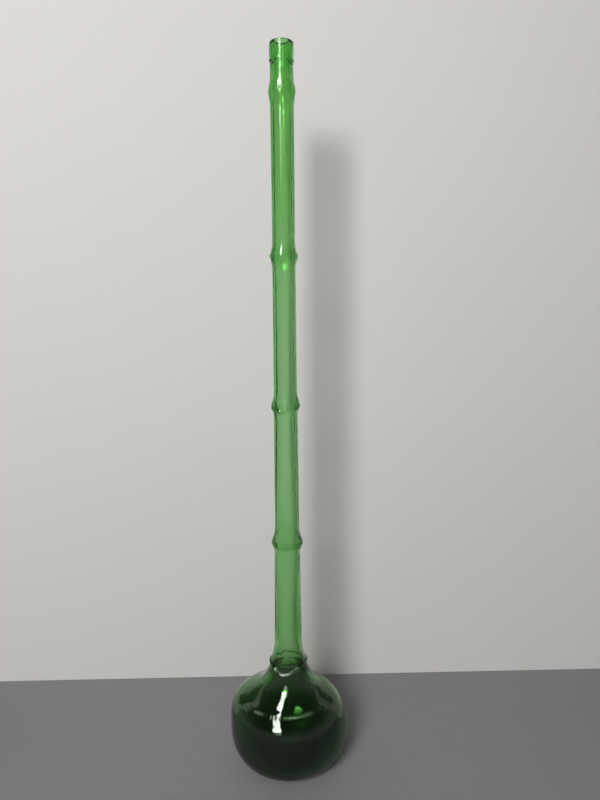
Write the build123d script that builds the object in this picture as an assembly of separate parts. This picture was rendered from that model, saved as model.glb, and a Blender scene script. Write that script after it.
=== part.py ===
from build123d import *
import math
import os

# A tall green glass wine carboy: a squat onion-shaped bulb with a pushed-up base, and a
# long neck moulded like a bamboo cane, which ends in a thick straight mouth for a cork.
# Millimetres, +Z up, origin on the axis at the plane that the bottle stands on.
# The wall is one piece of glass. It is cut into nodes where its moulded form changes.

# ---- driving dimensions
TOTAL_HEIGHT = 1090.0
BULB_RADIUS = 94.8

STANDING_INNER_RADIUS = 47.0
STANDING_OUTER_RADIUS = 56.0
PUNT_RISE = 16.0
PUNT_MIDDLE = (26.0, 11.2)
FLOOR_CENTRE_HEIGHT = 25.0
FLOOR_EDGE_HEIGHT = 10.0
FLOOR_EDGE_RADIUS = 51.5
FLOOR_MIDDLE = (31.0, 20.5)
HEEL_TOP = 30.0
BODY_TOP = 88.0
SHOULDER_TOP = 163.0
ROOT_RADIUS = 30.0
ROOT_INNER_RADIUS = 24.0

COLLAR_TOP = 212.0
COLLAR_RIM_HEIGHT = 173.0
COLLAR_RIM_RADIUS = 31.4
COLLAR_RIM_THICKNESS = 6.0
COLLAR_RIM_BULGE = 1.0

NECK_WALL = 5.4
NODE_FLARE = 18.0
NODE_HEIGHTS = [372.0, 585.0, 803.0, 1024.0]
NODE_RADII = [23.9, 21.2, 20.9, 19.0]
INNER_NODE_SHARE = 0.5
CANE_BOTTOM_RADII = [21.6, 19.1, 17.4, 16.4, 16.3]
CANE_TOP_RADII = [19.8, 17.8, 16.8, 16.4, 16.1]

FINISH_HEIGHT = 28.0
FINISH_RADIUS = 16.6
FINISH_BEAD_RADIUS = 17.3
FINISH_BEAD_HEIGHT = 6.0
MOUTH_RADIUS = 9.25
THROAT_BEND = 8.0
LIP_OUTER_ROUND = 3.0
LIP_INNER_ROUND = 1.2

RELIEF_COUNT = 19
RELIEF_MIDDLE = -98.0
RELIEF_SPREAD = 108.0
RELIEF_HEIGHT = 115.0
RELIEF_WIDTH = 5.0
RELIEF_LENGTH = 8.5
RELIEF_DEPTH = 1.2

FINISH_BOTTOM = TOTAL_HEIGHT - FINISH_HEIGHT
CUTTER_WIDTH = 3 * BULB_RADIUS
HALVINGS = 40


def bulb_stations():
    """The outer outline of the bulb from its foot to the neck root: radius, height, wall."""
    return [
        (STANDING_OUTER_RADIUS, 0.0, 9.0),
        (0.812 * BULB_RADIUS, 12.5, 7.5),
        (0.95 * BULB_RADIUS, 32.0, 6.0),
        (BULB_RADIUS, 58.0, 5.0),
        (0.976 * BULB_RADIUS, 83.0, 4.6),
        (0.886 * BULB_RADIUS, 103.0, 4.6),
        (0.718 * BULB_RADIUS, 116.5, 4.8),
        (0.54 * BULB_RADIUS, 128.0, 5.2),
        (0.405 * BULB_RADIUS, 144.0, 5.8),
        (ROOT_RADIUS, SHOULDER_TOP, 6.0),
    ]


def bulb_outline():
    """The outside of the bulb as one smooth curve."""
    return Spline([(r, z) for r, z, _ in bulb_stations()])


def inset(stations):
    """Each station moved inward by its wall, square to the outline through its neighbours."""
    moved = []
    for (r0, z0, _), (r, z, wall), (r1, z1, _) in zip(stations, stations[1:], stations[2:]):
        run = math.hypot(r1 - r0, z1 - z0)
        moved.append((r - wall * (z1 - z0) / run, z + wall * (r1 - r0) / run))
    return moved


def flare(r_wall, z_wall, r_node, z_node):
    """A curve that leaves the straight wall smoothly and swells out to a node's ridge."""
    return Bezier((r_wall, z_wall), (r_wall, (z_wall + z_node) / 2), (r_node, z_node))


def cane_edges(i, wall, node_share):
    """One length of the cane, from the node below it to the node above it, set in by the wall.

    node_share is how much of each node's swelling this surface follows."""
    bottom = CANE_BOTTOM_RADII[i] - wall
    top = CANE_TOP_RADII[i] - wall
    has_node_below = i > 0
    has_node_above = i < len(NODE_HEIGHTS)
    low = COLLAR_TOP
    high = FINISH_BOTTOM
    edges = []
    if has_node_below:
        below = CANE_TOP_RADII[i - 1]
        ridge = below + node_share * (NODE_RADII[i - 1] - below) - wall
        low = NODE_HEIGHTS[i - 1] + NODE_FLARE
        edges.append(flare(bottom, low, ridge, NODE_HEIGHTS[i - 1]))
    if has_node_above:
        high = NODE_HEIGHTS[i] - NODE_FLARE
        ridge = top + node_share * (NODE_RADII[i] - CANE_TOP_RADII[i])
        edges.append(Line((bottom, low), (top, high)))
        edges.append(flare(top, high, ridge, NODE_HEIGHTS[i]))
    elif wall > 0:
        bend_low = (bottom, high - THROAT_BEND)
        bend_high = (MOUTH_RADIUS, low + THROAT_BEND)
        edges.append(Bezier((bottom, low), bend_low, bend_high, (MOUTH_RADIUS, high)))
    else:
        edges.append(Line((bottom, low), (top, high)))
    return edges


def neck_edges(wall, node_share):
    """The whole cane from the collar's top to the finish."""
    return [edge for i in range(len(CANE_TOP_RADII)) for edge in cane_edges(i, wall, node_share)]


def collar_edges():
    """The skirt at the foot of the cane, whose thick rim stands over the shoulder."""
    rim_edge = COLLAR_RIM_RADIUS - COLLAR_RIM_BULGE
    rim_low = (rim_edge, COLLAR_RIM_HEIGHT - COLLAR_RIM_THICKNESS / 2)
    rim_middle = (COLLAR_RIM_RADIUS, COLLAR_RIM_HEIGHT)
    rim_high = (rim_edge, COLLAR_RIM_HEIGHT + COLLAR_RIM_THICKNESS / 2)
    rim = ThreePointArc(rim_low, rim_middle, rim_high)
    cane = CANE_BOTTOM_RADII[0]
    skirt = Bezier(
        rim_high,
        ((cane + COLLAR_RIM_RADIUS) / 2, rim_high[1] + COLLAR_RIM_THICKNESS),
        (cane, (COLLAR_TOP + rim_high[1]) / 2),
        (cane, COLLAR_TOP),
    )
    return [Line((ROOT_RADIUS, SHOULDER_TOP), rim_low), rim, skirt]


def finish_edges():
    """The outside of the thick band round the mouth, with a small bead at its foot."""
    bead_top = FINISH_BOTTOM + FINISH_BEAD_HEIGHT
    lip_low = (FINISH_RADIUS, TOTAL_HEIGHT - LIP_OUTER_ROUND)
    lip_high = (FINISH_RADIUS - LIP_OUTER_ROUND, TOTAL_HEIGHT)
    bead = ThreePointArc(
        (CANE_TOP_RADII[-1], FINISH_BOTTOM),
        (FINISH_BEAD_RADIUS, FINISH_BOTTOM + FINISH_BEAD_HEIGHT / 2),
        (FINISH_RADIUS, bead_top),
    )
    side = Line((FINISH_RADIUS, bead_top), lip_low)
    lip = RadiusArc(lip_low, lip_high, -LIP_OUTER_ROUND)
    return [bead, side, lip]


def outer_edges():
    """The outside of the bottle, from the standing ring up to the lip."""
    return [bulb_outline()] + collar_edges() + neck_edges(0.0, 1.0) + finish_edges()


def inner_edges():
    """The inside of the bottle, from the middle of its floor up to the mouth."""
    floor_edge = (FLOOR_EDGE_RADIUS, FLOOR_EDGE_HEIGHT)
    floor = ThreePointArc((0, FLOOR_CENTRE_HEIGHT), FLOOR_MIDDLE, floor_edge)
    root = (ROOT_INNER_RADIUS, SHOULDER_TOP)
    cane_foot = (CANE_BOTTOM_RADII[0] - NECK_WALL, COLLAR_TOP)
    chamber = Spline([floor_edge] + inset(bulb_stations()) + [root, cane_foot])
    bore = Line((MOUTH_RADIUS, FINISH_BOTTOM), (MOUTH_RADIUS, TOTAL_HEIGHT - LIP_INNER_ROUND))
    return [floor, chamber] + neck_edges(NECK_WALL, INNER_NODE_SHARE) + [bore]


def whole_glass():
    """The complete wall of the bottle, turned about its axis."""
    punt = ThreePointArc((0, PUNT_RISE), PUNT_MIDDLE, (STANDING_INNER_RADIUS, 0))
    standing_ring = Line((STANDING_INNER_RADIUS, 0), (STANDING_OUTER_RADIUS, 0))
    lip_edge = MOUTH_RADIUS + LIP_INNER_ROUND
    lip_flat = Line((FINISH_RADIUS - LIP_OUTER_ROUND, TOTAL_HEIGHT), (lip_edge, TOTAL_HEIGHT))
    lip_low = TOTAL_HEIGHT - LIP_INNER_ROUND
    lip_inside = RadiusArc((lip_edge, TOTAL_HEIGHT), (MOUTH_RADIUS, lip_low), -LIP_INNER_ROUND)
    axis = Line((0, PUNT_RISE), (0, FLOOR_CENTRE_HEIGHT))
    edges = [punt, standing_ring] + outer_edges() + [lip_flat, lip_inside] + inner_edges() + [axis]
    section = make_face(Plane.XZ * Curve(edges))
    return revolve(section, Axis.Z, 360)


def slab(low, high):
    """A block that holds everything between two heights."""
    return Pos(0, 0, (low + high) / 2) * Box(CUTTER_WIDTH, CUTTER_WIDTH, high - low)


def shoulder_place(height):
    """The radius of the bulb's outside at a height, and its lean from upright in degrees."""
    outline = bulb_outline()
    low = 0.0
    high = 1.0
    for _ in range(HALVINGS):
        middle = (low + high) / 2
        if (outline @ middle).Y < height:
            low = middle
        else:
            high = middle
    slope = outline % low
    return (outline @ low).X, math.degrees(math.atan2(-slope.X, slope.Y))


def shoulder_relief(glass):
    """A plain row of raised oval beads round the front of the shoulder, a separate solid each."""
    radius, lean = shoulder_place(RELIEF_HEIGHT)
    oval = scale(Sphere(1.0), by=(RELIEF_DEPTH, RELIEF_WIDTH / 2, RELIEF_LENGTH / 2))
    solids = []
    for i in range(RELIEF_COUNT):
        turn = RELIEF_MIDDLE + RELIEF_SPREAD * (i / (RELIEF_COUNT - 1) - 0.5)
        place = Rot(0, 0, turn) * Pos(radius, 0, RELIEF_HEIGHT) * Rot(0, -lean, 0)
        solids += ((place * oval) - glass).solids()
    return Compound(children=solids)


def build():
    """Every node of the bottle, by name."""
    glass = whole_glass()
    heights = [0.0, HEEL_TOP, BODY_TOP, SHOULDER_TOP, COLLAR_TOP] + NODE_HEIGHTS
    heights += [FINISH_BOTTOM, TOTAL_HEIGHT]
    names = ["base_with_punt", "body_wall", "shoulder", "neck_collar"]
    names += [f"neck_cane_{i + 1}" for i in range(len(CANE_TOP_RADII))]
    names += ["mouth_finish"]
    parts = {}
    for name, low, high in zip(names, heights, heights[1:]):
        parts[name] = glass & slab(low, high)
    parts["shoulder_relief"] = shoulder_relief(glass)
    return parts


if __name__ == "__main__":
    os.makedirs("parts", exist_ok=True)
    for name, shape in build().items():
        export_step(shape, f"parts/{name}.step")
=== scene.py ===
import math
import random

import bpy
import numpy as np
from mathutils import Matrix, Vector


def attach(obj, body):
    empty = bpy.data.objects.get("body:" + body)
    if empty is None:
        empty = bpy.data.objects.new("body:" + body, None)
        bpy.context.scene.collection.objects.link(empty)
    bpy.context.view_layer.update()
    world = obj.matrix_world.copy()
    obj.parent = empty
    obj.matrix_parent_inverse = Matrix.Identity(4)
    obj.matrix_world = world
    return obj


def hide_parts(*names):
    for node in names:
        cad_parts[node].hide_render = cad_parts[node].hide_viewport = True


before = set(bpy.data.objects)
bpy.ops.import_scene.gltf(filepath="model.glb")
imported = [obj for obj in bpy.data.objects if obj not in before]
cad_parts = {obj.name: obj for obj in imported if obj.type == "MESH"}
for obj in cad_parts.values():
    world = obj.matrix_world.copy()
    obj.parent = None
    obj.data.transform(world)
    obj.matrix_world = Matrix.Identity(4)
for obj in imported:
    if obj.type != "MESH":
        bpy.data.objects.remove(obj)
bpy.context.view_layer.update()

# A tall green glass bottle: a squat bulb under a neck moulded like a bamboo cane.
# Shapes are worked out in millimetres, and made in metres.

MM = 0.001
SEGMENTS = 160
CURVE_STEPS = 1200

# ---- driving dimensions, as in the CAD model
TOTAL_HEIGHT = 1090.0
BULB_RADIUS = 94.8
STANDING_INNER_RADIUS = 47.0
STANDING_OUTER_RADIUS = 56.0
PUNT_RISE = 16.0
FLOOR_CENTRE_HEIGHT = 25.0
ROOT_RADIUS = 30.0
SHOULDER_TOP = 163.0
COLLAR_TOP = 212.0
RIM_HEIGHT = 173.0
NECK_WALL = 5.4
NODE_FLARE = 18.0
NODE_HEIGHTS = [372.0, 585.0, 803.0, 1024.0]
NODE_RADII = [23.9, 21.2, 20.9, 19.0]
CANE_BOTTOM_RADII = [21.6, 19.1, 17.4, 16.4, 16.3]
CANE_TOP_RADII = [19.8, 17.8, 16.8, 16.4, 16.1]
FINISH_BOTTOM = 1062.0
FINISH_RADIUS = 16.6
FINISH_BEAD_RADIUS = 17.3
MOUTH_RADIUS = 9.25
LIP_OUTER_ROUND = 3.0
LIP_INNER_ROUND = 1.2

# The outer outline of the bulb from its foot to the neck root: radius, height, wall.
BULB = [
    (STANDING_OUTER_RADIUS, 0.0, 9.0),
    (0.812 * BULB_RADIUS, 12.5, 8.5),
    (0.95 * BULB_RADIUS, 32.0, 6.6),
    (BULB_RADIUS, 58.0, 5.4),
    (0.976 * BULB_RADIUS, 83.0, 4.9),
    (0.886 * BULB_RADIUS, 103.0, 4.6),
    (0.718 * BULB_RADIUS, 116.5, 4.8),
    (0.54 * BULB_RADIUS, 128.0, 5.2),
    (0.405 * BULB_RADIUS, 144.0, 5.8),
    (ROOT_RADIUS, SHOULDER_TOP, 6.0),
]

# ---- what the hand-made bottle adds to the plain form
# How round each node's ridge is at the sides, how much rounder in front, and how worn behind.
NODE_ROUNDING = [2.6, 2.2, 0.9, 3.0]
FRONT_ROUNDING = 3.5
BACK_ROUNDING = 10.0
BACK_SHARE = 0.8
# The angles from the front where the sides are, and where the worn back begins.
SIDE_ANGLE = 90.0
SIDE_WIDTH = 30.0
BACK_ANGLE = 115.0
BACK_BLEND = 40.0

# How uneven the glass is: outside at the bulb, the neck and the mouth band, and inside.
BULB_UNEVENNESS = 0.22
NECK_UNEVENNESS = 0.16
FINISH_UNEVENNESS = 0.10
INSIDE_UNEVENNESS = 0.55

# The bulb's shoulder sits to one side of the axis, most of all at this height.
LEAN = -4.4
LEAN_HEIGHT = 105.0
LEAN_REACH = 22.0

# The faint ring that the mould left round the shoulder.
RING_HEIGHT = 110.6
RING_DEPTH = 0.35
RING_WIDTH = 0.8

# The collar's rim hangs to a rounded tip in front, and is scalloped behind.
TIP_DIRECTION = -12.0
TIP_DROP = 12.6
TIP_WIDTH = 34.0
SIDE_DIRECTION = -72.0
SIDE_DROP = 2.4
# The points of the scallops: direction, depth, width.
SCALLOPS = [(98, 3.0, 8), (122, 5.0, 8), (146, 4.5, 8), (173, 4.0, 9), (-151, 6.0, 9), (-118, 4.0, 9)]
# Two upright creases run down from the scallops to the shoulder.
CREASES = (-151.0, 173.0)
CREASE_DEPTH = 0.55
CREASE_WIDTH = 2.4
CREASE_TOP = 171.3

# Each node's scar: its usual height and its depth.
SCAR_HEIGHTS = [368.0, 580.0, 801.0, 1029.0]
SCAR_DEPTHS = [1.15, 1.7, 0.08, 0.7]
SCAR_HOLD = 26.0
SCAR_BLEND = 18.0

# Where the bulb's rings end and the neck's begin, and where the collar's rings end.
BULB_ROWS_TOP = 141.0
NECK_ROWS_BOTTOM = 142.0
COLLAR_ROWS_TOP = 200.0

# How far apart the neck's rings are, on plain stretches and near the rim or a scar.
COARSE_SPACING = 13.0
FINE_SPACING = 1.6
FINE_REACH = 7.0

# The profile of a scar and of the rim: height above its own line, and how far it stands out.
SCAR_STEP = np.array([
    (-8.0, 0.0), (-6.5, -0.01), (-5.2, -0.05), (-4.3, -0.08), (-3.7, 0.0), (-3.2, 0.22), (-2.7, 0.40),
    (-2.2, 0.42), (-1.8, 0.25), (-1.5, 0.02), (-1.3, -0.10), (-1.0, -0.05), (-0.5, 0.28), (0.0, 0.62),
    (0.5, 0.88), (1.0, 1.0), (1.6, 0.98), (2.4, 0.82), (3.4, 0.58), (4.6, 0.34), (6.2, 0.14), (8.0, 0.0),
])
RIM_STEP = np.array([
    (-7.0, 0.0), (-4.6, 0.0), (-3.2, 0.0), (-2.4, 0.03), (-1.95, 0.14), (-1.78, 0.42), (-1.70, 0.95),
    (-1.64, 1.50), (-1.56, 1.95), (-1.36, 2.30), (-1.0, 2.50), (-0.55, 2.55), (-0.1, 2.46), (0.12, 2.26),
    (0.4, 1.82), (0.7, 1.30), (1.0, 0.84), (1.35, 0.54), (1.9, 0.38), (3.2, 0.25), (5.0, 0.15), (7.0, 0.08),
    (9.5, 0.03), (13.0, 0.0), (16.0, 0.0),
])

# The raised beads round the front of the shoulder: half their width, depth and length.
BEAD_COUNT = 19
BEAD_MIDDLE = -8.0
BEAD_SPREAD = 108.0
BEAD_HEIGHT = 115.0
BEAD_HALF_SIZES = (2.5, 1.2, 4.25)

# Angles run round the axis from the front, in degrees, positive to the viewer's right.
PHI = np.arange(SEGMENTS) * 360.0 / SEGMENTS


# ---- curves
def spline(points, count):
    """Points spaced along the smooth curve through the given ones, with even curvature."""
    p = np.array(points, float)
    t = np.concatenate([[0.0], np.cumsum(np.hypot(*np.diff(p, axis=0).T))])
    h = np.diff(t)
    n = len(p)
    a = np.eye(n)
    b = np.zeros_like(p)
    for i in range(1, n - 1):
        a[i, i - 1] = h[i - 1]
        a[i, i] = 2 * (h[i - 1] + h[i])
        a[i, i + 1] = h[i]
        b[i] = 6 * ((p[i + 1] - p[i]) / h[i] - (p[i] - p[i - 1]) / h[i - 1])
    m = np.linalg.solve(a, b)
    s = np.linspace(0.0, t[-1], count)
    k = np.clip(np.searchsorted(t, s, side="right") - 1, 0, n - 2)
    u = (s - t[k])[:, None]
    v = (t[k + 1] - s)[:, None]
    w = h[k][:, None]
    first = m[k] * v**3 / (6 * w) + m[k + 1] * u**3 / (6 * w)
    return first + (p[k] / w - m[k] * w / 6) * v + (p[k + 1] / w - m[k + 1] * w / 6) * u


def arc(centre, radius, start, end, count):
    """Points on an arc; 0 degrees points outward and 90 degrees up."""
    a = np.radians(np.linspace(start, end, count))
    return np.stack([centre[0] + radius * np.cos(a), centre[1] + radius * np.sin(a)], axis=1)


def bezier(a, b, c, d, count):
    """Points on the curve from a to d that is drawn toward b and c."""
    t = np.linspace(0.0, 1.0, count)[:, None]
    a, b, c, d = (np.array(x, float) for x in (a, b, c, d))
    return a * (1 - t) ** 3 + 3 * b * t * (1 - t) ** 2 + 3 * c * t**2 * (1 - t) + d * t**3


def smooth(x):
    """A soft step from 0 to 1."""
    x = np.clip(x, 0.0, 1.0)
    return x * x * (3 - 2 * x)


def between(z, low, rise, high, fall):
    """1 between two heights: it rises softly above the low one, and falls softly to the high one."""
    return smooth((z - low) / rise) * smooth((high - z) / fall)


def away(phi, centre):
    """The signed angle from a direction, from -180 to 180."""
    return (phi - centre + 180.0) % 360.0 - 180.0


def hump(x, centre, width):
    """A rounded rise: 1 at the centre, falling off evenly on both sides."""
    return np.exp(-(((x - centre) / width) ** 2))


def cusp(phi, centre, width):
    """A pointed rise: 1 at the centre, falling off evenly on both sides."""
    return np.exp(-(np.sqrt(away(phi, centre) ** 2 + 2.0) - 1.4) / width)


def ripple(phi, z, seed, around, along):
    """A slow unevenness of hand-made glass, within about plus or minus one."""
    r = random.Random(seed)
    total = 0.0
    for _ in range(5):
        k = r.choice(around)
        turn = r.uniform(0, 2 * math.pi)
        total = total + 0.4 * np.sin(np.radians(phi) * k + z / r.uniform(*along) + turn)
    return total


def lean(z):
    """How far the bottle stands to one side of the axis at a height."""
    return LEAN * hump(z, LEAN_HEIGHT, LEAN_REACH)


# ---- the outline
bulb_curve = spline([(r, z) for r, z, _ in BULB], CURVE_STEPS)
upper = bulb_curve[bulb_curve[:, 1] > 60.0]
skirt = bezier((ROOT_RADIUS, SHOULDER_TOP), (28.2, 176.0), (21.6, 186.0), (21.6, COLLAR_TOP), 300)
low_outline = np.concatenate([upper[:-1], skirt])


def cane_radius(z, share=1.0, extra_rounding=0.0):
    """The cane's radius from the collar's top to the mouth band.

    share is how much of each node's swelling it follows, and extra_rounding softens the ridges."""
    lows = [COLLAR_TOP] + NODE_HEIGHTS
    highs = NODE_HEIGHTS + [FINISH_BOTTOM]
    r = np.where(z > FINISH_BOTTOM, CANE_TOP_RADII[-1], CANE_BOTTOM_RADII[0])
    for low, high, bottom, top in zip(lows, highs, CANE_BOTTOM_RADII, CANE_TOP_RADII):
        inside = (z > low) & (z <= high)
        r = np.where(inside, bottom + (top - bottom) * (z - low) / (high - low), r)
    for i, height in enumerate(NODE_HEIGHTS):
        below, above = CANE_TOP_RADII[i], CANE_BOTTOM_RADII[i + 1]
        near = smooth((z - height + NODE_FLARE) / NODE_FLARE)
        far = smooth((height + NODE_FLARE - z) / NODE_FLARE)
        r = r + np.where(z <= height, near, -far) * (above - below) / 2
        rounding = NODE_ROUNDING[i] + extra_rounding
        away_z = np.sqrt((z - height) ** 2 + rounding**2) - rounding
        rise = NODE_RADII[i] - (below + above) / 2
        r = r + share * rise * np.clip(1 - away_z / NODE_FLARE, 0.0, 1.0) ** 2
    return r


def outline_radius(z, phi=90.0):
    """The outside radius at a height over the widest part of the bulb.

    The nodes' ridges are sharp at the sides, softer in front and worn smooth behind."""
    turn = np.abs(away(phi, 0.0))
    high = np.maximum(z, COLLAR_TOP)
    sharp = cane_radius(high)
    soft = cane_radius(high, 1.0, FRONT_ROUNDING)
    worn = cane_radius(high, BACK_SHARE, BACK_ROUNDING)
    at_back = smooth((turn - BACK_ANGLE) / BACK_BLEND)
    at_side = hump(turn, SIDE_ANGLE, SIDE_WIDTH)
    rounded = soft + (worn - soft) * at_back
    cane = rounded + (sharp - rounded) * at_side
    return np.where(z < COLLAR_TOP, np.interp(z, low_outline[:, 1], low_outline[:, 0]), cane)


# ---- the lines that run round the cane: their height over each direction
def collar_line(phi):
    """How far the collar's rim lies above its usual height."""
    front = np.exp(-np.abs(away(phi, TIP_DIRECTION) / TIP_WIDTH) ** 2.2)
    dip = TIP_DROP * front + SIDE_DROP * hump(away(phi, SIDE_DIRECTION), 0.0, TIP_WIDTH)
    for centre, depth, width in SCALLOPS:
        dip = dip + depth * cusp(phi, centre, width)
    return 1.0 - dip


def lowest_scar(phi):
    """Nearly level in front, with a point behind."""
    behind = smooth((np.abs(away(phi, 0.0)) - 60.0) / 90.0)
    return -5.0 + 3.0 * behind - 3.6 * cusp(phi, 164.0, 11.0)


def second_scar(phi):
    """A lopsided V in front, which climbs higher on the right."""
    turn = away(phi, -18.0)
    left = 3.4 * (1 - np.exp(turn / 22.0)) / (1 - math.exp(-2.0))
    right = 6.4 * (1 - np.exp(-turn / 36.0))
    rise = np.where(turn < 0, np.minimum(left, 3.4), right)
    return -8.0 + rise - 3.0 * cusp(phi, 166.0, 12.0) + 1.2 * hump(away(phi, -110.0), 0.0, 30.0)


def third_scar(phi):
    """A shallow point in front and behind."""
    return -1.2 - 3.2 * cusp(phi, 6.0, 16.0) - 3.0 * cusp(phi, -170.0, 16.0)


def highest_scar(phi):
    """A shallow point in front and behind, over the node's ridge."""
    return 6.0 - 3.2 * cusp(phi, -12.0, 18.0) - 3.0 * cusp(phi, 168.0, 16.0)


SCAR_LINES = [lowest_scar, second_scar, third_scar, highest_scar]


def scar_depth(phi, z):
    """Scars are clear in front and almost worn away behind, and the two lowest are uneven."""
    fade = 0.08 + 0.92 * smooth((125.0 - np.abs(away(phi, 0.0))) / 60.0)
    left = 0.9 * hump(away(phi, -44.0), 0.0, 24.0) * hump(z, SCAR_HEIGHTS[1], 12.0)
    ends = hump(away(phi, -52.0), 0.0, 14.0) + hump(away(phi, 50.0), 0.0, 14.0)
    return fade * (0.85 + left + 0.8 * ends * hump(z, SCAR_HEIGHTS[0], 12.0))


# ---- the rings of points that make the glass: radius and height, one row for each ring
def fine_heights(low, high, coarse, spots):
    """Heights from low to high, closer together near each spot (height, reach, spacing)."""
    growth, least, near_zero = 0.22, 0.2, 1e-6
    z = [low]
    while z[-1] < high - near_zero:
        step = coarse
        for at, reach, spacing in spots:
            d = max(0.0, abs(z[-1] - at) - reach)
            step = min(step, spacing + growth * d)
        z.append(min(high, z[-1] + step))
    if z[-1] - z[-2] < least:
        del z[-2]
    return np.array(z)


def full_rings(outline):
    """Every point of an outline, taken all the way round."""
    return tuple(np.repeat(outline[:, i:i + 1], SEGMENTS, axis=1) for i in (0, 1))


def bulb_rings():
    """The outside of the punt, the standing ring and the bulb."""
    chord = STANDING_INNER_RADIUS - 1.5
    ball = (chord**2 + PUNT_RISE**2) / (2 * PUNT_RISE)
    r = np.linspace(0.0, 1.0, 16)[1:] ** 0.8 * chord
    punt = np.stack([r, PUNT_RISE - ball + np.sqrt(ball**2 - r**2)], axis=1)
    standing_ring = np.array([
        (STANDING_INNER_RADIUS - 0.6, 0.35),
        (STANDING_INNER_RADIUS + 0.6, 0.03),
        (STANDING_INNER_RADIUS + 2.0, 0.0),
        (STANDING_OUTER_RADIUS - 3.0, 0.0),
        (STANDING_OUTER_RADIUS - 1.2, 0.12),
    ])
    body = bulb_curve[bulb_curve[:, 1] < BULB_ROWS_TOP]
    near_ring = np.abs(body[:, 1] - RING_HEIGHT) < 1.8
    every = np.where(near_ring, 3, 18)
    keep = np.arange(len(body)) % every == 0
    keep[0] = False
    r, z = full_rings(np.concatenate([punt, standing_ring, body[keep]]))
    phi = PHI[None, :]
    r = r + BULB_UNEVENNESS * smooth(z / 25.0) * ripple(phi, z, 3, [1, 2, 3], (14.0, 40.0))
    front = 0.25 + 0.75 * smooth((115.0 - np.abs(away(phi, 20.0))) / 60.0)
    return r + RING_DEPTH * front * hump(z, RING_HEIGHT, RING_WIDTH), z


def neck_rings():
    """The outside from the foot of the collar to the mouth band, with the rim and the scars."""
    steps = [(RIM_HEIGHT, RIM_STEP, 1.0)]
    steps += [(height, SCAR_STEP, depth) for height, depth in zip(SCAR_HEIGHTS, SCAR_DEPTHS)]
    heights, outs = [], []
    low = NECK_ROWS_BOTTOM
    for height, step, depth in steps:
        spots = [(height, FINE_REACH, FINE_SPACING), (low, 0.0, FINE_SPACING)]
        run = fine_heights(low, height + step[0, 0], COARSE_SPACING, spots)[:-1]
        run = run[1:] if heights else run
        heights += list(run) + list(height + step[:, 0])
        outs += [0.0] * len(run) + list(depth * step[:, 1])
        low = height + step[-1, 0]
    run = fine_heights(low, FINISH_BOTTOM - 0.3, COARSE_SPACING, [(low, 0.0, FINE_SPACING)])[1:]
    z0 = np.array(heights + list(run))[:, None]
    out = np.array(outs + [0.0] * len(run))[:, None]

    phi = PHI[None, :]
    z = z0 + 0 * phi
    z = z + collar_line(phi) * between(z0, 144.0, 22.0, 208.0, 28.0)
    for node_height, height, line in zip(NODE_HEIGHTS, SCAR_HEIGHTS, SCAR_LINES):
        hold = between(z0, height - SCAR_HOLD, SCAR_BLEND, height + SCAR_HOLD, SCAR_BLEND)
        z = z + (node_height + line(phi) - height) * hold
    in_collar = z0 < COLLAR_ROWS_TOP
    r = outline_radius(np.where(z0 < 230.0, z, z0 + 0 * phi), phi)
    tip = hump(away(phi, TIP_DIRECTION), 0.0, 17.0) * in_collar
    behind = 1.0 - 0.30 * smooth((np.abs(away(phi, 0.0)) - 85.0) / 40.0)
    r = r + out * (1 - 0.15 * tip) * np.where(in_collar, behind, scar_depth(phi, z0))
    for centre in CREASES:
        crease = hump(away(phi, centre), 0.0, CREASE_WIDTH) * smooth((z0 - 140.0) / 12.0)
        r = r - CREASE_DEPTH * crease * (z0 < CREASE_TOP)
    uneven = ripple(phi, z, 11, [1, 2, 2, 3], (25.0, 90.0)) * smooth((z0 - 150.0) / 40.0)
    return r + NECK_UNEVENNESS * uneven, z


def finish_rings():
    """The mouth band: its bead, its side, and the lip down to the bore."""
    bead_round = 3.0
    bead_centre = (FINISH_BEAD_RADIUS - bead_round, FINISH_BOTTOM + bead_round)
    bead = arc(bead_centre, bead_round, -58, 40, 12)
    lip_low = TOTAL_HEIGHT - LIP_OUTER_ROUND
    side = np.stack([np.full(10, FINISH_RADIUS), np.linspace(FINISH_BOTTOM + 6.4, lip_low, 10)], axis=1)
    side[:, 0] += 0.25 * np.sin(np.linspace(0, math.pi, 10))
    lip = arc((FINISH_RADIUS - LIP_OUTER_ROUND, lip_low), LIP_OUTER_ROUND, 8, 90, 10)
    edge = MOUTH_RADIUS + LIP_INNER_ROUND
    flat_outside = FINISH_RADIUS - LIP_OUTER_ROUND - 1.0
    flat = np.array([(flat_outside, TOTAL_HEIGHT), (edge + 0.6, TOTAL_HEIGHT)])
    inside = arc((edge, TOTAL_HEIGHT - LIP_INNER_ROUND), LIP_INNER_ROUND, 90, 180, 7)
    r, z = full_rings(np.concatenate([bead, side, lip, flat, inside]))
    uneven = ripple(PHI[None, :], z, 19, [1, 2, 3], (8.0, 20.0)) * smooth((r - 13.0) / 3.0)
    return r + FINISH_UNEVENNESS * uneven, z


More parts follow.
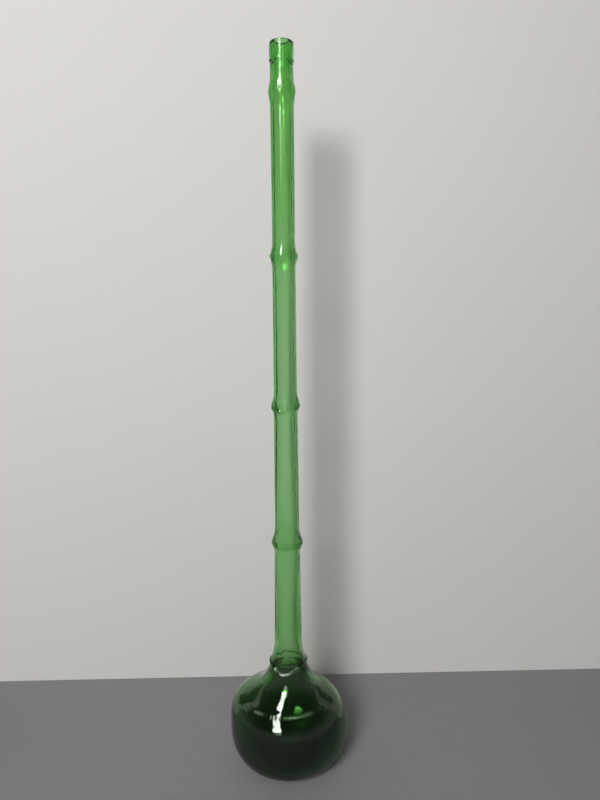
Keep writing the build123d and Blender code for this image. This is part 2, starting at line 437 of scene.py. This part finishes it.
def inner_rings():
    """The inside, from the mouth down to the middle of the floor."""
    bore_heights = np.linspace(TOTAL_HEIGHT - 4.0, FINISH_BOTTOM + 1.0, 7)
    bore = np.stack([np.full(7, MOUTH_RADIUS), bore_heights], axis=1)
    throat_radius = CANE_TOP_RADII[-1] - NECK_WALL
    throat = bezier(
        (MOUTH_RADIUS, FINISH_BOTTOM),
        (MOUTH_RADIUS, FINISH_BOTTOM - 12.0),
        (throat_radius, FINISH_BOTTOM - 14.0),
        (throat_radius, FINISH_BOTTOM - 24.0),
        9,
    )
    z = fine_heights(COLLAR_TOP, 1030.0, 14.0, [(height, 5.0, 2.6) for height in NODE_HEIGHTS])[::-1]
    wall = NECK_WALL - 0.9 * smooth((1000.0 - z) / 350.0) + 0.9 * smooth((330.0 - z) / 110.0)
    cane = np.stack([cane_radius(z, 0.5, 4.0) - wall, z], axis=1)
    moved = []
    for (r0, z0, _), (r1, z1, bulb_wall), (r2, z2, _) in zip(BULB, BULB[1:], BULB[2:]):
        run = math.hypot(r2 - r0, z2 - z0)
        moved.append((r1 - bulb_wall * (z2 - z0) / run, z1 + bulb_wall * (r2 - r0) / run))
    root = [(26.2, SHOULDER_TOP - 2.0), (24.6, RIM_HEIGHT), (19.6, 191.0)]
    foot = (CANE_BOTTOM_RADII[0] - NECK_WALL, COLLAR_TOP)
    floor_edge = (51.5, 13.0)
    chamber = spline([floor_edge] + moved + root + [foot], 110)[::-1]
    floor = spline([floor_edge, (31.0, 21.5), (16.0, 24.4), (0.0, FLOOR_CENTRE_HEIGHT)], 14)[1:-1]
    r, z = full_rings(np.concatenate([bore, throat, cane, chamber[1:], floor]))
    phi = PHI[None, :]
    in_neck = between(z, 190.0, 60.0, 1050.0, 30.0)
    r = r + INSIDE_UNEVENNESS * in_neck * ripple(phi, z, 23, [1, 1, 2, 3], (60.0, 200.0))
    in_bulb = (1 - smooth((z - 150.0) / 40.0)) * smooth(r / 30.0)
    return r + INSIDE_UNEVENNESS * in_bulb * ripple(phi, z, 29, [1, 2, 3, 4], (12.0, 35.0)), z


# ---- meshes
def mesh_object(name, verts, faces, material):
    """A smooth-shaded object."""
    mesh = bpy.data.meshes.new(name)
    mesh.from_pydata(verts, [], faces)
    mesh.update()
    mesh.validate()
    mesh.polygons.foreach_set("use_smooth", [True] * len(mesh.polygons))
    mesh.materials.append(material)
    obj = bpy.data.objects.new(name, mesh)
    bpy.context.scene.collection.objects.link(obj)
    return obj


# The larger bubbles in the front of the bulb: direction and height. They lie this deep in the wall.
LARGE_SEEDS = [(36.0, 65.5), (-31.0, 47.0), (-25.0, 86.0), (15.0, 106.0), (52.0, 40.0), (-60.0, 70.0)]
SEED_DEPTH = 1.9


def seeds():
    """Small bubbles in the wall: centre, half width and half length of each."""
    draw = random.Random(41)
    found = []
    for phi, z in LARGE_SEEDS:
        found.append((phi, z, draw.uniform(0.6, 1.0), 1.0))
    for _ in range(14):
        found.append((draw.uniform(-180, 180), draw.uniform(30, 110), draw.uniform(0.3, 0.7), 1.0))
    for _ in range(26):
        found.append((draw.gauss(0, 25), draw.uniform(840, 1015), draw.uniform(0.22, 0.45), 2.0))
    for _ in range(24):
        found.append((draw.uniform(-180, 180), draw.uniform(220, 1050), draw.uniform(0.25, 0.5), 3.0))
    for phi, z, size, stretch in found:
        if z < 150.0:
            outside = np.interp(z, bulb_curve[:, 1], bulb_curve[:, 0])
        else:
            outside = float(outline_radius(np.array([z]))[0])
        r = outside - SEED_DEPTH
        a = math.radians(phi)
        yield (r * math.sin(a) + float(lean(z)), -r * math.cos(a), z), size, size * stretch


def add_seed(verts, faces, place, width, length):
    """One bubble, facing inward, as the glass ends at its surface."""
    rings, around = 5, 8
    start = len(verts)
    x, y, z = place
    verts.append((x * MM, y * MM, (z + length) * MM))
    for i in range(1, rings):
        up = math.pi * i / rings
        for j in range(around):
            side = 2 * math.pi * j / around
            wide = width * math.sin(up)
            verts.append((
                (x + wide * math.cos(side)) * MM,
                (y + wide * math.sin(side)) * MM,
                (z + length * math.cos(up)) * MM,
            ))
    verts.append((x * MM, y * MM, (z - length) * MM))
    last = len(verts) - 1
    for j in range(around):
        k = (j + 1) % around
        faces.append((start, start + 1 + k, start + 1 + j))
        faces.append((last, last - around + j, last - around + k))
        for i in range(rings - 2):
            p, q = start + 1 + i * around, start + 1 + (i + 1) * around
            faces.append((p + j, p + k, q + k, q + j))


def glass_body(material):
    """The whole wall as one closed surface, outside and inside."""
    rings = [bulb_rings(), neck_rings(), finish_rings(), inner_rings()]
    r = np.concatenate([part[0] for part in rings])
    z = np.concatenate([part[1] for part in rings])
    a = np.radians(PHI)[None, :]
    xyz = np.stack([r * np.sin(a) + lean(z), -r * np.cos(a), z], axis=2) * MM
    verts = [tuple(v) for v in xyz.reshape(-1, 3)]
    faces = []
    for i in range(len(r) - 1):
        p, q = i * SEGMENTS, (i + 1) * SEGMENTS
        for j in range(SEGMENTS):
            k = (j + 1) % SEGMENTS
            faces.append((p + j, p + k, q + k, q + j))
    foot = len(verts)
    verts.append((0.0, 0.0, PUNT_RISE * MM))
    top = len(verts)
    verts.append((0.0, 0.0, FLOOR_CENTRE_HEIGHT * MM))
    last = (len(r) - 1) * SEGMENTS
    for j in range(SEGMENTS):
        k = (j + 1) % SEGMENTS
        faces.append((foot, k, j))
        faces.append((top, last + j, last + k))
    for place, width, length in seeds():
        add_seed(verts, faces, place, width, length)
    return mesh_object("bottle_glass", verts, faces, material)


def bead_row(material):
    """The raised oval beads round the front of the shoulder."""
    k = int(np.argmin(np.abs(upper[:, 1] - BEAD_HEIGHT)))
    radius = float(upper[k, 0])
    slope = upper[k + 1] - upper[k - 1]
    tilt = Matrix.Rotation(math.atan2(slope[0], slope[1]), 4, "X")
    to_side = Matrix.Translation((float(lean(BEAD_HEIGHT)) * MM, 0, 0))
    to_shoulder = Matrix.Translation((0, -radius * MM, BEAD_HEIGHT * MM))
    half_width, half_depth, half_length = BEAD_HALF_SIZES
    verts, faces = [], []
    rings, around = 9, 16
    for i in range(BEAD_COUNT):
        turn = math.radians(BEAD_MIDDLE + BEAD_SPREAD * (i / (BEAD_COUNT - 1) - 0.5))
        place = to_side @ Matrix.Rotation(turn, 4, "Z") @ to_shoulder @ tilt
        start = len(verts)
        for a in range(rings):
            up = math.pi * (a + 0.5) / rings
            for b in range(around):
                side = 2 * math.pi * b / around
                verts.append(tuple(place @ Vector((
                    half_width * MM * math.sin(up) * math.cos(side),
                    -half_depth * MM * math.sin(up) * math.sin(side),
                    half_length * MM * math.cos(up),
                ))))
        for a in range(rings - 1):
            p, q = start + a * around, start + (a + 1) * around
            for b in range(around):
                c = (b + 1) % around
                faces.append((p + b, p + c, q + c, q + b))
        faces.append(tuple(start + b for b in reversed(range(around))))
        faces.append(tuple(start + (rings - 1) * around + b for b in range(around)))
    return mesh_object("shoulder_beads", verts, faces, material)


# ---- materials
def new_material(name):
    """An empty node material: the material, its tree and its output."""
    material = bpy.data.materials.new(name)
    material.use_nodes = True
    tree = material.node_tree
    tree.nodes.clear()
    return material, tree, tree.nodes.new("ShaderNodeOutputMaterial")


def add_node(tree, kind, **values):
    """A node with its inputs set by name, where an underscore stands for a space."""
    node = tree.nodes.new(kind)
    for name, value in values.items():
        node.inputs[name.replace("_", " ")].default_value = value
    return node


def set_stops(ramp, stops):
    """Gives a colour ramp its stops: position and colour of each."""
    elements = ramp.color_ramp.elements
    while len(elements) < len(stops):
        elements.new(0.5)
    for element, (position, colour) in zip(elements, stops):
        element.position = position
        element.color = tuple(colour) + (1.0,)


# How the glass's colour is darkened at each height. The bulb's darkening, fading out through the collar, is
# painted shade standing in for the bottle's shadow on the floor seen through it; the deeper green of the
# upper neck and mouth is the glass's own tint.
SHADE_AND_TINTS = [
    (20.0, (0.22, 0.30, 0.20)),
    (90.0, (0.36, 0.46, 0.33)),
    (150.0, (0.52, 0.64, 0.45)),
    (176.0, (0.60, 0.72, 0.53)),
    (205.0, (0.98, 0.99, 0.95)),
    (650.0, (1.0, 1.0, 1.0)),
    (900.0, (0.86, 0.95, 0.76)),
    (1060.0, (0.78, 0.90, 0.66)),
]

# The neck's surface is rougher than the bulb's. It changes between these shares of the height.
ROUGH_FROM = 0.15
ROUGH_TO = 0.25


def green_glass():
    """Clear green glass, with the skin of hand-made glass."""
    material, tree, out = new_material("green_glass")
    links = tree.links
    shader = add_node(tree, "ShaderNodeBsdfPrincipled", Transmission_Weight=1.0, IOR=1.51)
    coords = tree.nodes.new("ShaderNodeTexCoord")
    smear = add_node(tree, "ShaderNodeTexNoise", Scale=24.0, Detail=3.0)
    peel = add_node(tree, "ShaderNodeTexNoise", Scale=230.0, Detail=1.0)
    split = tree.nodes.new("ShaderNodeSeparateXYZ")
    height = add_node(tree, "ShaderNodeMapRange", From_Max=TOTAL_HEIGHT * MM)
    # The base colour carries painted shade that darkens the bulb, and the glass's own deeper tint up the
    # neck.
    shade_and_tint = tree.nodes.new("ShaderNodeValToRGB")
    set_stops(shade_and_tint, [(z / TOTAL_HEIGHT, colour) for z, colour in SHADE_AND_TINTS])
    neck_range = {"From_Min": ROUGH_FROM, "From_Max": ROUGH_TO}
    haze = add_node(tree, "ShaderNodeMapRange", To_Min=0.035, To_Max=0.17, **neck_range)
    wave = add_node(tree, "ShaderNodeMapRange", To_Min=0.08, To_Max=0.24, **neck_range)
    rough = add_node(tree, "ShaderNodeMapRange", To_Min=0.0)
    bump = add_node(tree, "ShaderNodeBump", Distance=0.0006)
    volume = add_node(tree, "ShaderNodeVolumeAbsorption", Color=(0.25, 0.77, 0.17, 1.0), Density=150.0)
    for node in (smear, peel, split):
        links.new(coords.outputs["Object"], node.inputs["Vector"])
    links.new(split.outputs["Z"], height.inputs["Value"])
    links.new(height.outputs["Result"], shade_and_tint.inputs["Fac"])
    links.new(height.outputs["Result"], haze.inputs["Value"])
    links.new(height.outputs["Result"], wave.inputs["Value"])
    links.new(smear.outputs["Fac"], rough.inputs["Value"])
    links.new(haze.outputs["Result"], rough.inputs["To Max"])
    links.new(peel.outputs["Fac"], bump.inputs["Height"])
    links.new(wave.outputs["Result"], bump.inputs["Strength"])
    links.new(shade_and_tint.outputs["Color"], shader.inputs["Base Color"])
    links.new(rough.outputs["Result"], shader.inputs["Roughness"])
    links.new(bump.outputs["Normal"], shader.inputs["Normal"])
    links.new(shader.outputs["BSDF"], out.inputs["Surface"])
    links.new(volume.outputs["Volume"], out.inputs["Volume"])
    return material


def plain(name, colour, scale, amount):
    """A matt surface with a slight unevenness."""
    material, tree, out = new_material(name)
    shader = add_node(tree, "ShaderNodeBsdfPrincipled", Roughness=0.85)
    coords = tree.nodes.new("ShaderNodeTexCoord")
    grain = add_node(tree, "ShaderNodeTexNoise", Scale=scale)
    ramp = tree.nodes.new("ShaderNodeValToRGB")
    darker, lighter = ([c * (1 + sign * amount) for c in colour] for sign in (-1, 1))
    set_stops(ramp, [(0.0, darker), (1.0, lighter)])
    tree.links.new(coords.outputs["Object"], grain.inputs["Vector"])
    tree.links.new(grain.outputs["Fac"], ramp.inputs["Fac"])
    tree.links.new(ramp.outputs["Color"], shader.inputs["Base Color"])
    tree.links.new(shader.outputs["BSDF"], out.inputs["Surface"])
    return material


def one_sided(material):
    """Lets a backdrop be seen from its front alone, so that it hides nothing from behind."""
    tree = material.node_tree
    out = next(node for node in tree.nodes if node.type == "OUTPUT_MATERIAL")
    front = out.inputs["Surface"].links[0].from_socket
    side = tree.nodes.new("ShaderNodeNewGeometry")
    clear = tree.nodes.new("ShaderNodeBsdfTransparent")
    choice = tree.nodes.new("ShaderNodeMixShader")
    tree.links.new(side.outputs["Backfacing"], choice.inputs["Fac"])
    tree.links.new(front, choice.inputs[1])
    tree.links.new(clear.outputs["BSDF"], choice.inputs[2])
    tree.links.new(choice.outputs["Shader"], out.inputs["Surface"])
    return material


# ---- the bottle
GLASS_NODES = ["base_with_punt", "body_wall", "shoulder", "neck_collar"]
GLASS_NODES += [f"neck_cane_{i}" for i in range(1, 6)] + ["mouth_finish"]

glass = green_glass()
bottle = glass_body(glass)
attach(bottle, "root")
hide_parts(*GLASS_NODES)
beads = bead_row(glass)
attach(beads, "root")
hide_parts("shoulder_relief")

# ---- floor and wall, in metres
WALL_Y = 0.219
WALL_LEFT = -0.60
WALL_RIGHT = 0.70
WALL_TOP = 1.35
FLOOR_HALF = 8.0
CARD_LOW = 0.16
CARD_HIGH = 1.08
CARD_GAP = 0.004


def plane(name, corners, material):
    """A flat piece of the scene round the bottle."""
    obj = mesh_object(name, corners, [(0, 1, 2, 3)], material)
    return obj


def flag(name, x, nearest, material):
    """An upright card between the wall and the bottle, which only the glass shows: its dark colour is a
    painted reflection of shade in the glass.
    """
    back = WALL_Y - CARD_GAP
    corners = [(x, nearest, CARD_LOW), (x, back, CARD_LOW), (x, back, CARD_HIGH), (x, nearest, CARD_HIGH)]
    card = plane(name, corners, material)
    card.visible_camera = False
    card.visible_shadow = False
    card.visible_diffuse = False


pale_wall = one_sided(plain("pale_wall", (0.66, 0.645, 0.63), 3.0, 0.012))
pale_floor = plain("pale_floor", (0.24, 0.24, 0.243), 60.0, 0.03)
floor_corners = [(x * FLOOR_HALF, y * FLOOR_HALF, 0) for x, y in ((-1, -1), (1, -1), (1, 1), (-1, 1))]
plane("floor", floor_corners, pale_floor)
wall_corners = [(WALL_LEFT, 0), (WALL_RIGHT, 0), (WALL_RIGHT, WALL_TOP), (WALL_LEFT, WALL_TOP)]
plane("backdrop", [(x, WALL_Y, z) for x, z in wall_corners], pale_wall)

# The dark cards beside the neck are painted shade that only the glass reflects: they draw the dark lines
# inside the edges of its glass.
painted_shade_card = plain("painted_shade_card", (0.15, 0.15, 0.15), 20.0, 0.1)
flag("flag_left", -0.24, 0.10, painted_shade_card)
flag("flag_right", 0.30, 0.13, painted_shade_card)

# ---- light
BULB_TOP = (0, 0, 0.12)
NECK_MIDDLE = (0, 0, 0.6)


def toward(azimuth, elevation):
    """A direction: the azimuth is from the front, left negative."""
    a, e = math.radians(azimuth), math.radians(elevation)
    return Vector((math.sin(a) * math.cos(e), -math.cos(a) * math.cos(e), math.sin(e)))


def softbox(name, start, end, width, radiance, distance, target):
    """A soft light that reaches from one direction to another, with its width in degrees."""
    low, high = toward(*start), toward(*end)
    out = (low + high).normalized()
    across = (high - low).normalized().cross(out).normalized()
    along = across.cross(out)
    light = bpy.data.lights.new(name, "AREA")
    light.shape = "RECTANGLE"
    light.size = 2 * distance * math.tan(math.radians(width / 2))
    light.size_y = 2 * distance * math.tan(low.angle(high) / 2)
    light.energy = radiance * math.pi * light.size * light.size_y
    obj = bpy.data.objects.new(name, light)
    spot = Vector(target) + out * distance
    obj.matrix_world = Matrix((
        (across.x, along.x, out.x, spot.x),
        (across.y, along.y, out.y, spot.y),
        (across.z, along.z, out.z, spot.z),
        (0.0, 0.0, 0.0, 1.0),
    ))
    obj.visible_camera = False
    bpy.context.scene.collection.objects.link(obj)
    return obj


# The broad window lights the room; the narrow lights are only what shines on the glass.
window = softbox("window", (-20, 21.5), (-20, 34.5), 17.0, 42.0, 3.0, NECK_MIDDLE)
window.visible_glossy = False
# Each shine: its start and end direction, width, radiance and distance.
SHINES = [
    ("ceiling_tube", (-24, 50), (-60, 75), 9.0, 22.0, 12.0),
    ("pane_middle", (-21, 31.5), (-23, 49), 14.0, 22.0, 12.0),
    ("pane_low", (-16, 21.5), (-16, 26), 9.0, 6.0, 3.6),
]
for shine_facts in SHINES:
    shine = softbox(*shine_facts, BULB_TOP)
    shine.visible_diffuse = False

# The room's grey from the floor up: the direction's rise, from 0 to 1, and how light it is.
ROOM = [(0.0, 0.32), (0.25, 0.32), (0.55, 0.07), (1.0, 0.04)]
WARMTH = (1.0, 0.985, 0.965)
world = bpy.data.worlds.new("room")
world.use_nodes = True
air = world.node_tree
direction = air.nodes.new("ShaderNodeTexCoord")
split_direction = air.nodes.new("ShaderNodeSeparateXYZ")
fade = air.nodes.new("ShaderNodeValToRGB")
set_stops(fade, [(rise, [grey * tone for tone in WARMTH]) for rise, grey in ROOM])
air.links.new(direction.outputs["Generated"], split_direction.inputs["Vector"])
air.links.new(split_direction.outputs["Z"], fade.inputs["Fac"])
air.links.new(fade.outputs["Color"], air.nodes["Background"].inputs["Color"])
bpy.context.scene.world = world
bpy.context.scene.view_settings.view_transform = "Standard"

# ---- camera: where it is, in metres, and how it is turned, in degrees
CAMERA_Y = -0.9575
CAMERA_Z = 0.7628
CAMERA_YAW = 1.30
CAMERA_PITCH = 10.03
CAMERA_ROLL = -0.455

yaw, pitch, roll = (math.radians(turn) for turn in (CAMERA_YAW, CAMERA_PITCH, CAMERA_ROLL))
ahead = Vector((math.sin(yaw) * math.cos(pitch), math.cos(yaw) * math.cos(pitch), -math.sin(pitch)))
level = Vector((math.cos(yaw), -math.sin(yaw), 0.0))
upright = level.cross(ahead)
right = level * math.cos(roll) + upright * math.sin(roll)
up = upright * math.cos(roll) - level * math.sin(roll)
camera = bpy.data.objects.new("camera", bpy.data.cameras.new("camera"))
camera.data.lens = 29.25
camera.data.sensor_width = 36.0
camera.matrix_world = Matrix((
    (right.x, up.x, -ahead.x, 0.0),
    (right.y, up.y, -ahead.y, CAMERA_Y),
    (right.z, up.z, -ahead.z, CAMERA_Z),
    (0.0, 0.0, 0.0, 1.0),
))
bpy.context.scene.collection.objects.link(camera)
bpy.context.scene.camera = camera
